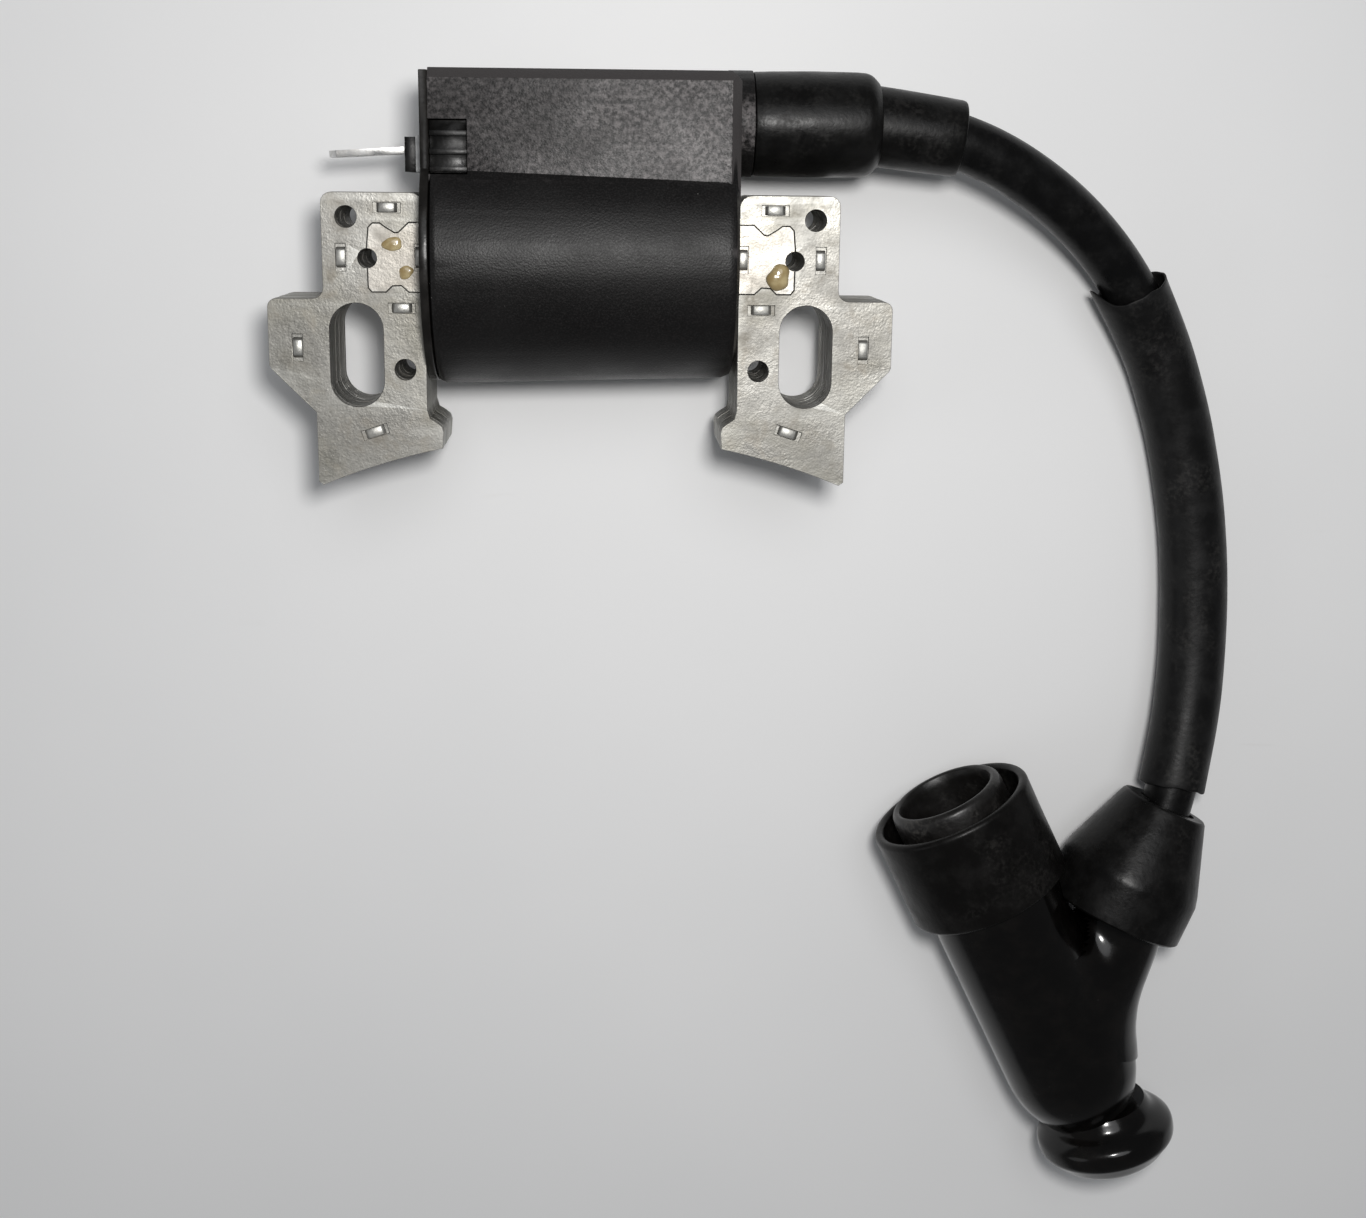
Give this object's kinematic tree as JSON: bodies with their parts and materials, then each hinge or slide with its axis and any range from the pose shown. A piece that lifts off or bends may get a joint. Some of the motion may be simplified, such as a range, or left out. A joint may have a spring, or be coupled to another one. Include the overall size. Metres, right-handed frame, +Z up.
{
  "type": "ignition coil",
  "caption": "Small engine ignition coil: laminated two-leg core, moulded coil case, kill blade, and a sleeved plug lead ending in a Y-shaped spark plug cap.",
  "frame": {"origin": "on the bench plane under the middle of the coil without its lead and cap, halfway between the two legs", "axes": "+X from the left leg to the lead tower side, +Y away from the flywheel, +Z up from the bench, normal to the steel plates"},
  "size_m": [0.1293, 0.1549, 0.032],
  "materials": {
    "steel_plate": "satin, bare",
    "steel_bar": "satin, bare",
    "varnish": "gloss",
    "case_plastic": "fine grain",
    "resin": "satin",
    "bobbin_plastic": "matte",
    "copper": "satin",
    "board": "satin",
    "component": "satin",
    "tin_plate": "bright",
    "grey_seal": "matte",
    "brass": "satin",
    "rubber": "satin",
    "lead_rubber": "satin",
    "sleeve_rubber": "matte, dusty",
    "phenolic": "gloss"
  },
  "bodies": {
    "coil": {"left_leg": "steel_plate", "right_leg": "steel_plate", "core_bar": "steel_bar", "locking_varnish": "varnish", "coil_case": "case_plastic", "end_plate": "case_plastic", "resin_fill": "resin", "primary_bobbin": "bobbin_plastic", "primary_winding": "copper", "secondary_bobbin": "bobbin_plastic", "secondary_winding": "copper", "circuit_board": "board", "switching_transistor": "component", "board_components": "component", "kill_terminal": "tin_plate", "terminal_block": "case_plastic", "terminal_seal": "grey_seal", "kill_strap": "copper", "ht_spike": "brass", "coil_boot": "rubber", "ht_lead": "lead_rubber", "lead_core": "copper"},
    "sleeve": {"lead_sleeve": "sleeve_rubber"},
    "cap": {"cap_body": "phenolic", "cap_collar": "rubber", "cap_seal_ring": "rubber", "cap_cable_boot": "rubber", "cap_knob": "phenolic", "cord_screw": "brass", "cap_resistor": "component", "plug_contact": "brass", "contact_clip": "tin_plate"}
  },
  "joints": [
    {"name": "cap_swivel", "type": "hinge", "parent": "coil", "child": "cap", "pos_m": [0.0703, -0.1116, 0.0116], "axis": [0.3073, 0.9502, -0.0509], "range_deg": [-120, 120]},
    {"name": "sleeve_slide", "type": "hinge", "parent": "coil", "child": "sleeve", "pos_m": [0.0066, -0.04476, 0.04385], "axis": [0.4355, 0.0751, 0.897], "range_deg": [-0.2, 1.8]}
  ]
}
